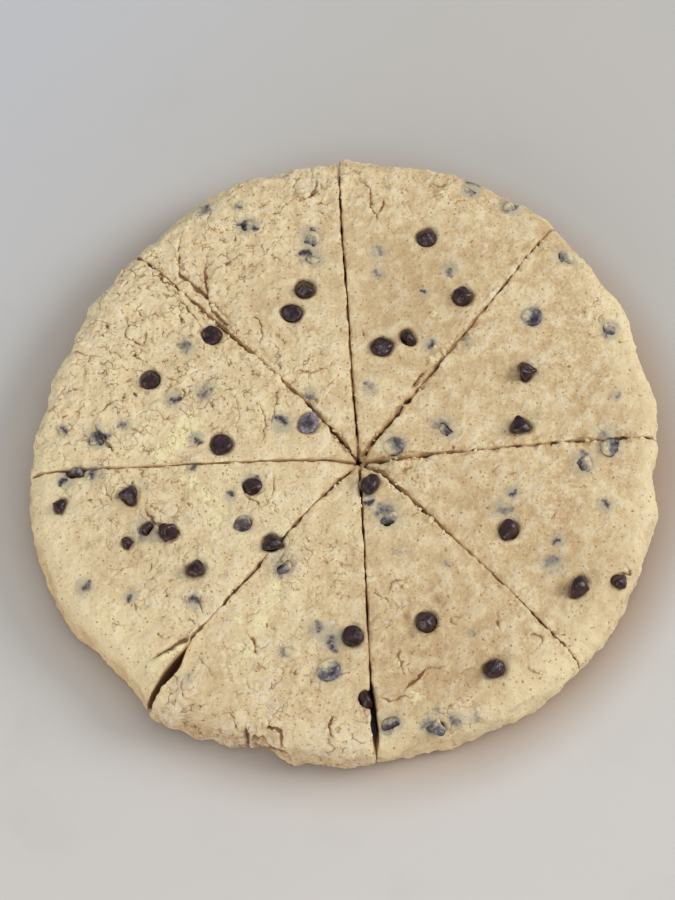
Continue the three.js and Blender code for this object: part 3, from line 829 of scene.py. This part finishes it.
def wedge_body(name, lumps):
    """The wedge as one skin of small even faces: the frame's solid with its lumps fused on."""
    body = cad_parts[name].copy()
    body.data = body.data.copy()
    body.parent = None
    bpy.context.scene.collection.objects.link(body)
    body.name = name.replace("wedge", "dough")
    for key in [key for key in body.keys() if key.startswith("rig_")]:
        del body[key]
    alone(body)
    bpy.ops.object.mode_set(mode="EDIT")
    bpy.ops.mesh.select_all(action="SELECT")
    bpy.ops.mesh.remove_doubles(threshold=WELD)
    bpy.ops.object.mode_set(mode="OBJECT")
    join_onto(body, [add_lump(*row) for row in lumps])
    body.data.materials.clear()
    finish_with(body, "REMESH", mode="VOXEL", voxel_size=FACE_SIZE * MM)
    return body


def join_onto(body, bits):
    """Makes several meshes part of one."""
    if bits:
        alone(body)
        for bit in bits:
            bit.select_set(True)
        bpy.ops.object.join()


def soften(body, rounds, factor=0.5):
    finish_with(body, "SMOOTH", factor=factor, iterations=rounds)


def skin_share(points, normals):
    """1 on the patted top and edge, 0 on cut walls and the resting face."""
    away = np.hypot(points[:, 0], points[:, 1])
    radial = points[:, :2] / np.maximum(away, 1)[:, None]
    outward = np.sum(radial * normals[:, :2], axis=1)
    top = fade(normals[:, 2], 0.35, 0.75)
    edge = fade(outward, 0.45, 0.75) * fade(away, 78, 84)
    return np.maximum(top, edge) * fade(points[:, 2], 0.6, 2.4)


def refine_skin(body):
    """Halves the faces of the patted skin, which carries the fine relief."""
    mesh = body.data
    share = skin_share(points_of(mesh), normals_of(mesh))
    alone(body)
    bpy.ops.object.mode_set(mode="EDIT")
    bpy.ops.mesh.select_mode(type="FACE")
    bpy.ops.mesh.select_all(action="DESELECT")
    edit = bmesh.from_edit_mesh(mesh)
    for face in edit.faces:
        face.select = all(share[corner.index] > 0.25 for corner in face.verts)
    bmesh.update_edit_mesh(mesh)
    bpy.ops.mesh.subdivide(number_cuts=1, smoothness=0)
    bpy.ops.object.mode_set(mode="OBJECT")


def shape_tears(points, normals, skin, rows):
    """Opens the cracks and raises one side of each; returns how torn each point is."""
    plan = points[:, :2]
    torn = np.zeros(len(points))
    height = np.zeros(len(points))
    for number, (path, half_width, depth, lift) in enumerate(rows):
        line = rounded_path(path, 4)
        low, high = line.min(axis=0) - 3, line.max(axis=0) + 3
        near_by = np.flatnonzero(np.all((plan > low) & (plan < high), axis=1) & (skin > 0.05))
        if not len(near_by):
            continue
        spot = plan[near_by]
        drift = 0.5 * wander(spot, 1.7, number) + 0.25 * wander(spot, 0.7, number)
        gap, side, along = from_line(spot + drift, line)
        taper = fade(along, 0, 0.3) * fade(1 - along, 0, 0.3)
        width = half_width * (0.4 + 0.6 * taper) + 0.08
        groove = np.exp(-(gap / width) ** 3) * (0.25 + 0.75 * taper)
        raised = np.where(side * np.sign(lift) > 0, 1.0, 0.0) * fade(gap, 2.4, 0)
        height[near_by] += abs(lift) * raised * taper - depth * groove
        torn[near_by] = np.maximum(torn[near_by], groove * min(1, 0.3 + depth))
    return points + normals * (height * skin)[:, None], torn


def ragged_edges(points, normals, name):
    """Roughens the top edges of the two cuts beside a wedge."""
    rough = 0.65 * cloud(points, 2.3, 3) + 0.45 * cloud(points, 1.1, 4)
    upper = fade(points[:, 2], TOP - 8, TOP - 2.5)
    wall = fade(points[:, 2], TOP - 0.8, TOP - 2.6) * fade(np.abs(normals[:, 2]), 0.6, 0.2)
    amount, sagged = np.zeros(len(points)), np.zeros(len(points))
    for cut in SIDES[name]:
        gap, _, _ = from_line(points[:, :2], rounded_path(CUT_PATHS[cut], 3))
        ragged, sag = CUT_EDGES[cut]
        amount = np.maximum(amount, ragged * fade(gap, 3.2, 0.8))
        sagged = np.maximum(sagged, sag * fade(gap, 2.4, 1.2))
    reach = np.hypot(points[:, 0] - HUB[0], points[:, 1] - HUB[1])
    drawn_back = 0.4 * fade(reach, 15, 4) * np.minimum(amount, 1)
    return points + normals * (upper * (amount * rough - drawn_back) + wall * sagged)[:, None]


def roll_lip(points):
    """Rolls up the edge of the wedge beside the open cut; returns how creased it is behind."""
    gap, side, along = from_line(points[:, :2] + 0.4 * wander(points[:, :2], 2.0, 71), LIP)
    taper = fade(along, 0, 0.15) * fade(1 - along, 0, 0.3)
    upper = fade(points[:, 2], TOP - 7, TOP - 3)
    raised = np.where(side > 0, fade(gap, 5.0, 0.6), 0) * taper * upper
    moved = points.copy()
    crease = np.exp(-(gap / 0.5) ** 2) * taper * upper
    moved[:, 2] += (2.4 + 0.5 * cloud(points, 2.5, 72)) * raised - 1.3 * crease
    moved[:, :2] += (1.1 * raised)[:, None] * OVER_SOUTH_WEST
    return moved, crease


def lean_corner(points):
    """Leans the near corner of the wedge towards the open cut, which closes it at the rim."""
    whole_cut = rounded_path([*CUT_PATHS["south_west"], (-52, -75), (-59, -88)], 3)
    gap, _, _ = from_line(points[:, :2], whole_cut)
    away = np.hypot(points[:, 0], points[:, 1])
    moved = points.copy()
    lean = 2.1 * fade(gap, 16, 1) * fade(away, 84, 98)
    lean -= 0.5 * fade(gap, 10, 1) * np.exp(-((away - 86) / 5) ** 2)
    moved[:, :2] += lean[:, None] * np.array([-0.88, 0.47])
    return moved


def narrow_cut(points, push):
    """Pushes the wall towards the cut where the open south-west cut begins."""
    gap, _, _ = from_line(points[:, :2], np.array([(-39, -56), (-43, -60.5), (-46.5, -64.5)]))
    moved = points.copy()
    moved[:, :2] += (push * fade(gap, 6, 0.8))[:, None] * OVER_SOUTH_WEST
    return moved


def close_rim(points):
    """Narrows the south cut, and presses it shut where it runs down the edge of the round."""
    x, y, z = points.T
    stations = [56, 74, 86, 97]
    middle = np.interp(-y, stations, [6.2, 7, 8, 8.8])
    in_frame = np.interp(-y, stations, [0.3, 0.45, 1.3, 0.3])
    wanted = np.interp(-y, [56, 75, 79, 88, 94.5, 96.5], [0.25, 0.3, 0.85, 1.25, 0.8, 0])
    pocket = fade(-y, 87, 91) * fade(z, TOP - 4.5, TOP - 8)
    wanted += pocket * (-0.06 - wanted)
    offset = x - middle
    shut = np.maximum(in_frame - wanted, 0) * fade(-y, 57, 66) * fade(np.abs(offset), 11, 1)
    moved = points.copy()
    moved[:, 0] -= np.sign(offset) * shut
    return moved


def round_hub(points):
    """Drops and roughens the tips of the wedges where the cuts meet; returns how worn they are."""
    reach = np.hypot(points[:, 0] - HUB[0], points[:, 1] - HUB[1])
    uneven = reach + 2.2 * cloud(points, 4.0, 9) + 1.0 * cloud(points, 1.6, 10)
    worn = fade(uneven, 8.5, 2)
    lowered = points.copy()
    lowered[:, 2] -= worn * 2.2 * fade(points[:, 2], 6, 14)
    return lowered, worn


def roll_rim(points):
    """Lumps and hollows round the patted edge, pushed straight out from the middle."""
    away = np.hypot(points[:, 0], points[:, 1])
    push = 1.1 * cloud(points, 11, 21) + 0.5 * cloud(points, 4.5, 22) + 0.2 * cloud(points, 2, 23)
    share = fade(away, 84, 91) * fade(points[:, 2], 0.2, 2.5)
    moved = points.copy()
    moved[:, :2] += points[:, :2] / np.maximum(away, 1)[:, None] * (push * share)[:, None]
    return moved


def chip_gap(points):
    """Distance from each point to the nearest chip, and how far dough covers that chip."""
    gap = np.full(len(points), 9.0)
    veiled = np.zeros(len(points))
    for centre, tree, amount in chip_trees:
        for index in np.flatnonzero(np.linalg.norm(points - centre, axis=1) < 6.5):
            distance = tree.find_nearest(points[index])[3]
            if distance < gap[index]:
                gap[index], veiled[index] = distance, amount
    return gap, veiled


def draw_over(points, normals, gap, veiled):
    """Draws the skin over the rims of the chips that the dough still covers, unevenly."""
    moved = points.copy()
    share = veiled * fade(gap, 1.3, 0.1) * fade(points[:, 2], TOP - 5, TOP - 2.5)
    reach = 0.55 + 0.75 * cloud(points, 1.5, 33)
    for centre, _, amount in chip_trees:
        if amount > 0:
            offset = centre[:2] - points[:, :2]
            away = np.linalg.norm(offset, axis=1)
            near_by = away < 5.5
            step = (share * reach)[near_by] / np.maximum(away[near_by], 0.5)
            moved[near_by, :2] += offset[near_by] * step[:, None]
    moved[:, 2] += 0.4 * share * fade(normals[:, 2], 0, 0.6)
    return moved


def stain_cores(rows):
    """The dark heart of each stain: a short tapering smear off its middle."""
    for number, (x, y, radius, strength) in enumerate(rows):
        turn = 2.4 * number
        middle = polar(x, y, 0.4 * radius, turn)
        heading = turn + 1.3 + math.sin(5.1 * number)
        for step, size in ((-0.4, 0.48), (0, 0.66), (0.45, 0.58), (0.85, 0.4)):
            yield (*polar(*middle, step * radius, heading + 0.6 * step), size * radius, strength)


def strew(body, rows):
    """Joins small crumbs on to the finished skin, each part sunk in it."""
    points, normals = points_of(body.data), normals_of(body.data)
    facing = points[normals[:, 2] > 0.6]
    bits = []
    for number, (x, y, size) in enumerate(rows):
        ground = facing[np.argmin(np.hypot(facing[:, 0] - x, facing[:, 1] - y))]
        bit = add_lump(0, 0, 0, 0.85 * size, (1, 0.75, 0.55), 0)
        shape = points_of(bit.data)
        shape *= (1 + 0.65 * cloud(shape + 7.0 * number, 0.8 * size, number))[:, None]
        move_points(bit.data, shape)
        bit.rotation_euler = (0.4 * math.sin(number), 0.4 * math.cos(number), 1.3 * number)
        bit.location = Vector((x, y, ground[2] - 0.1 * size)) * MM
        settle(bit)
        for name, value in (("dry", 0.4), ("pale_and_painted_light", 0.2), ("skin", 0.0)):
            keep(bit.data, name, np.full(len(shape), value))
        keep(bit.data, "rest", points_of(bit.data))
        bpy.ops.object.shade_smooth()
        bits.append(bit)
    join_onto(body, bits)


def make_wedge(name, lumps, crumbs, cracks, relief, material):
    """One wedge, shaped, marked for its colours, given its relief and strewn with crumbs."""
    body = wedge_body(name, lumps)
    soften(body, 4)
    refine_skin(body)
    soften(body, 2)
    mesh = body.data
    points, normals = points_of(mesh), normals_of(mesh)
    skin = skin_share(points, normals)
    keep(mesh, "rest", points)
    points, torn = shape_tears(points, normals, skin, TEARS + cracks)
    points = ragged_edges(points, normals, name)
    if name == "wedge_wsw":
        points, crease = roll_lip(narrow_cut(points, 0.35))
        torn = np.maximum(torn, crease)
    if name == "wedge_ssw":
        points = lean_corner(narrow_cut(points, -0.3))
    points, worn = round_hub(points)
    points = roll_rim(points)
    if name in ("wedge_ssw", "wedge_sse"):
        points = close_rim(points)
    plan = points[:, :2]
    pressed = patches(plan, HOLLOWS) * skin
    points[:, 2] -= 0.9 * pressed
    gap, veiled = chip_gap(points)
    # The ring about each chip, lowered a little and painted dark as contact shade.
    seat_and_shade = np.exp(-(gap / 0.75) ** 2) * skin * (0.3 + 0.7 * fade(cloud(points, 2.5, 31), -0.5, 0.3))
    seat_and_shade *= 1 - veiled
    points = draw_over(points, normals, gap, veiled)
    points[:, 2] -= 0.45 * seat_and_shade
    stained = patches(plan, [(x, y, 1.5 * r, s) for x, y, r, s in STAINS])
    stained = np.maximum(stained, 0.9 * veiled * np.exp(-(gap / 1.6) ** 2))
    shut = fade(-plan[:, 1], 90, 94) * fade(np.abs(plan[:, 0] - 8.5), 5, 3)
    # Painted shade on the lower side wall towards the front left.
    side = fade(points[:, 2], TOP - 3.5, TOP - 9) * fade(plan @ [-0.62, -0.78], 45, 85)
    upper = skin * fade(points[:, 2], TOP - 8, TOP - 3.5)
    rim = fade(np.hypot(plan[:, 0], plan[:, 1]), 80, 93)
    # Painted light: the rim is painted paler as if sunlit, most towards the front right and less on the
    # left.
    sunlit = fade(plan @ [0.85, -0.53], 10, 60) + 0.5 * fade(-plan[:, 0], 20, 75)
    for mark, values in (
        ("skin", skin * fade(gap, 0.2, 1.6)),
        # Painted contact shade about the chips and in the pressed hollows.
        ("seat_and_shade", seat_and_shade + 0.55 * pressed ** 2),
        ("worn", worn),
        ("cut", (1 - skin) * (1 - shut) * fade(points[:, 2], 0.5, 1.5)),
        ("tear", torn),
        ("dry", np.clip(patches(plan, DRY), 0, 1)),
        ("flour", patches(plan, FLOUR) * skin),
        ("butter", patches(plan, BUTTER)),
        # Darker patches, plus painted shade in the pressed hollows and on the front-left side wall.
        ("dark_patch_and_shade", patches(plan, DARK_PATCHES) + 1.2 * pressed ** 2 + 0.8 * side),
        ("halo", stained * upper),
        ("pale_and_painted_light", fade(-plan[:, 0], -70, 60) + 1.7 * rim * sunlit),
        ("core", patches(plan, stain_cores(STAINS)) * upper),
    ):
        keep(mesh, mark, values)
    move_points(mesh, points)
    finish_with(body, "NODES", node_group=relief)
    strew(body, crumbs)
    alone(body)
    bpy.ops.object.shade_smooth()
    mesh.materials.append(material)
    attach(body, "root")
    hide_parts(name)
    return body


# ------------------------------------------------------------------ chips
def chip_pose(name):
    """The middle of a chip's base in the frame, the way its tip points, and its length."""
    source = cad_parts[name].data
    edit = bmesh.new()
    edit.from_mesh(source)
    bmesh.ops.remove_doubles(edit, verts=edit.verts, dist=WELD)
    poles = sorted(edit.verts, key=lambda corner: len(corner.link_faces))[-2:]
    middle = sum((corner.co for corner in edit.verts), Vector()) / len(edit.verts)
    ends = sorted((pole.co.copy() for pole in poles), key=lambda co: (co - middle).length)
    edit.free()
    base, tip = ends
    return base, (tip - base).normalized(), (tip - base).length


# The outline of a chip from its base to its tip: radius and height.
CHIP_SHAPE = [
    (2.45, 0.0), (2.95, 0.35), (3.2, 0.95), (3.1, 1.7), (2.65, 2.5), (1.95, 3.2), (1.2, 3.8), (0.62, 4.3),
    (0.3, 4.75),
]
CHIP_TALL = 4.7
# How much smaller a chip is made than its seat in the frame, so that it clears the dough.
CHIP_EASE = 0.98


def model_chip():
    """One drop-shaped chip, drawn up ring by ring from its base and finished smooth."""
    bpy.ops.object.select_all(action="DESELECT")
    radius, height = CHIP_SHAPE[0]
    bpy.ops.mesh.primitive_circle_add(vertices=20, radius=radius * MM, fill_type="NGON")
    chip = bpy.context.object
    bpy.ops.object.mode_set(mode="EDIT")
    bpy.ops.mesh.select_mode(type="FACE")
    bpy.ops.mesh.select_all(action="SELECT")
    for next_radius, next_height in CHIP_SHAPE[1:]:
        bpy.ops.mesh.extrude_region_move(
            TRANSFORM_OT_translate={"value": (0, 0, (next_height - height) * MM)}
        )
        grow = next_radius / radius
        bpy.ops.transform.resize(value=(grow, grow, 1))
        radius, height = next_radius, next_height
    bpy.ops.mesh.poke()
    bpy.ops.mesh.select_all(action="SELECT")
    bpy.ops.mesh.normals_make_consistent(inside=False)
    bpy.ops.object.mode_set(mode="OBJECT")
    close_base(chip)
    finish_with(chip, "SUBSURF", levels=2, render_levels=2)
    return chip


def close_base(chip):
    """Gives the base its own middle point, so that it shades evenly."""
    edit = bmesh.new()
    edit.from_mesh(chip.data)
    open_edges = [edge for edge in edit.edges if len(edge.link_faces) == 1]
    if open_edges:
        bmesh.ops.holes_fill(edit, edges=open_edges, sides=0)
    for face in [face for face in edit.faces if len(face.verts) > 4]:
        bmesh.ops.poke(edit, faces=[face])
    bmesh.ops.recalc_face_normals(edit, faces=edit.faces)
    edit.to_mesh(chip.data)
    edit.free()


# How much flour lies on a chip, and how much dough still covers it.
FLOURY = {
    "chip_ese_1": 0.7, "chip_ese_2": 0.6, "chip_ene_3": 0.7, "chip_ene_6": 0.9, "chip_ssw_2": 0.9,
    "chip_ssw_3": 0.85, "chip_sse_7": 0.7, "chip_wsw_2": 0.75, "chip_nne_6": 0.6, "chip_wnw_2": 0.3,
    "chip_nne_5": 0.4, "chip_wnw_3": 0.9, "chip_nnw_3": 0.8, "chip_nnw_4": 0.8,
}
# The second number is the side the dough covers most, in degrees from +X.
COVERED = {
    "chip_ese_1": (0.4, 190), "chip_ese_2": (0.5, 20), "chip_ene_3": (0.4, 150), "chip_ene_6": (0.42, 200),
    "chip_ssw_2": (0.35, 120), "chip_ssw_3": (0.4, 45), "chip_sse_7": (0.45, 75), "chip_nnw_3": (0.5, 60),
    "chip_nnw_4": (0.6, 250), "chip_nne_5": (0.6, 160), "chip_nne_6": (0.6, 120), "chip_nnw_5": (0.5, 30),
    "chip_ene_4": (0.5, 30), "chip_ene_5": (0.45, 180), "chip_ene_7": (0.7, 90), "chip_wnw_5": (0.5, 200),
    "chip_wsw_2": (0.25, 90), "chip_wsw_9": (0.3, 90), "chip_sse_2": (0.4, 90), "chip_sse_6": (0.45, 115),
}


def place_chip(model, name, number, material):
    """A copy of the chip in its seat, with dents and a bent tip of its own."""
    base, axis, tall = chip_pose(name)
    copy = model.copy()
    copy.data = model.data.copy()
    bpy.context.scene.collection.objects.link(copy)
    copy.name = name.replace("chip", "chocolate_chip")
    points = points_of(copy.data)
    seed = number * 1.7
    dent = 0.5 * cloud(points, 2.8, number) + 0.2 * cloud(points, 1.1, number + 60)
    upper = fade(points[:, 2], 0.8, 3.2)
    around = np.arctan2(points[:, 1], points[:, 0])
    points[:, :2] *= (1 + 0.13 * upper * np.cos(3 * around + seed))[:, None]
    bend = fade(points[:, 2], 2.2, CHIP_TALL) * 0.6
    points[:, 0] += bend * math.cos(seed)
    points[:, 1] += bend * math.sin(seed)
    points += normals_of(copy.data) * dent[:, None]
    points[:, 0] *= 1 + 0.07 * math.sin(2.3 * seed)
    points[:, 1] *= 1 - 0.07 * math.sin(2.3 * seed)
    move_points(copy.data, points)
    ring = fade(np.hypot(points[:, 0], points[:, 1]), 1.2, 2.9)
    patchy = 0.5 + 0.5 * cloud(points, 2.2, number + 90)
    keep(copy.data, "floury", FLOURY.get(name, 0.0) * (0.45 + 0.35 * ring + 0.4 * patchy))
    amount, side = COVERED.get(name, (-0.3, 0))
    size = tall / (CHIP_TALL * MM)
    turn = Vector((0, 0, 1)).rotation_difference(axis).to_matrix().to_4x4()
    spin = Matrix.Rotation(seed, 4, "Z")
    copy.matrix_world = Matrix.Translation(base) @ turn @ spin @ Matrix.Scale(size * CHIP_EASE, 4)
    settle(copy)
    placed = points_of(copy.data)
    toward = polar(0, 0, 1, math.radians(side))
    across = (placed - placed.mean(axis=0))[:, :2] @ toward
    keep(copy.data, "covered", amount + 0.25 * patchy + (0.2 * across if amount > 0 else 0))
    bpy.ops.object.shade_smooth()
    copy.data.materials.clear()
    copy.data.materials.append(material)
    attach(copy, "root")
    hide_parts(name)
    return copy


def nearest_tree(chip, name):
    """The chip's middle, a tree for finding its nearest surface point, and how far it is covered."""
    points = points_of(chip.data)
    faces = [tuple(face.vertices) for face in chip.data.polygons]
    amount = min(1, 1.5 * COVERED.get(name, (0, 0))[0])
    return points.mean(axis=0), BVHTree.FromPolygons(points.tolist(), faces), amount


# ------------------------------------------------------------------ stage
FLOOR_GAP = 0.0002


def lay_floor():
    """The sheet of paper, plain and flat, just under the round."""
    bpy.ops.object.select_all(action="DESELECT")
    bpy.ops.mesh.primitive_plane_add(size=6)
    floor = bpy.context.object
    floor.name = "paper_floor"
    floor.location.z = -FLOOR_GAP
    settle(floor)
    floor.data.materials.append(paper_material())


def add_area(name, azimuth, elevation, distance, size, watts, colour):
    """A round soft light aimed at the scone, azimuth counter-clockwise from +X."""
    light = bpy.data.lights.new(name, "AREA")
    light.shape = "DISK"
    light.size = size
    light.energy = watts
    light.color = colour
    lamp = bpy.data.objects.new(name, light)
    bpy.context.scene.collection.objects.link(lamp)
    a, e = math.radians(azimuth), math.radians(elevation)
    toward = Vector((math.cos(a) * math.cos(e), math.sin(a) * math.cos(e), math.sin(e)))
    lamp.location = toward * distance
    lamp.rotation_euler = toward.to_track_quat("Z", "Y").to_euler()


def light_scene():
    """Cool daylight from a window on the right, with a warm fill from the left."""
    world = bpy.data.worlds.new("studio")
    bpy.context.scene.world = world
    world.use_nodes = True
    background = world.node_tree.nodes["Background"]
    background.inputs["Color"].default_value = (0.92, 0.95, 1.0, 1)
    background.inputs["Strength"].default_value = 0.36
    daylight, warm = (1.0, 0.98, 0.955), (1.0, 0.93, 0.84)
    add_area("window", 10, 33, 2.2, 1.1, 25, daylight)
    add_area("overhead", 20, 76, 2.4, 1.9, 12, daylight)
    add_area("fill", 228, 20, 2.4, 1.8, 22, warm)


CAMERA_TARGET = Vector((-2.5, -4.3, 18)) * MM
CAMERA_ELEVATION = math.radians(68)
CAMERA_DISTANCE = 0.63


def set_camera():
    """A long lens, high above the near side, looking down on the round."""
    lens = bpy.data.cameras.new("camera")
    lens.lens = 85
    lens.sensor_width = 36
    camera = bpy.data.objects.new("camera", lens)
    bpy.context.scene.collection.objects.link(camera)
    back = Vector((0, -math.cos(CAMERA_ELEVATION), math.sin(CAMERA_ELEVATION)))
    camera.location = CAMERA_TARGET + back * CAMERA_DISTANCE
    camera.rotation_euler = back.to_track_quat("Z", "Y").to_euler()
    bpy.context.scene.camera = camera
    bpy.context.scene.view_settings.view_transform = "Standard"


# ------------------------------------------------------------------ making
plan_of = {name: points_of(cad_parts[name].data)[:, :2] for name in WEDGES}

set_camera()
lay_floor()
light_scene()

chocolate = chocolate_material()
model = model_chip()
chip_trees = [
    nearest_tree(place_chip(model, name, number, chocolate), name) for number, name in enumerate(CHIPS)
]
bpy.data.objects.remove(model)

dough = dough_material()
relief = relief_tree()
lumps, crumbs, cracks = lumps_for_wedges(), loose_crumbs(), scatter_cracks()
for name in WEDGES:
    make_wedge(name, lumps[name], crumbs[name], cracks, relief, dough)
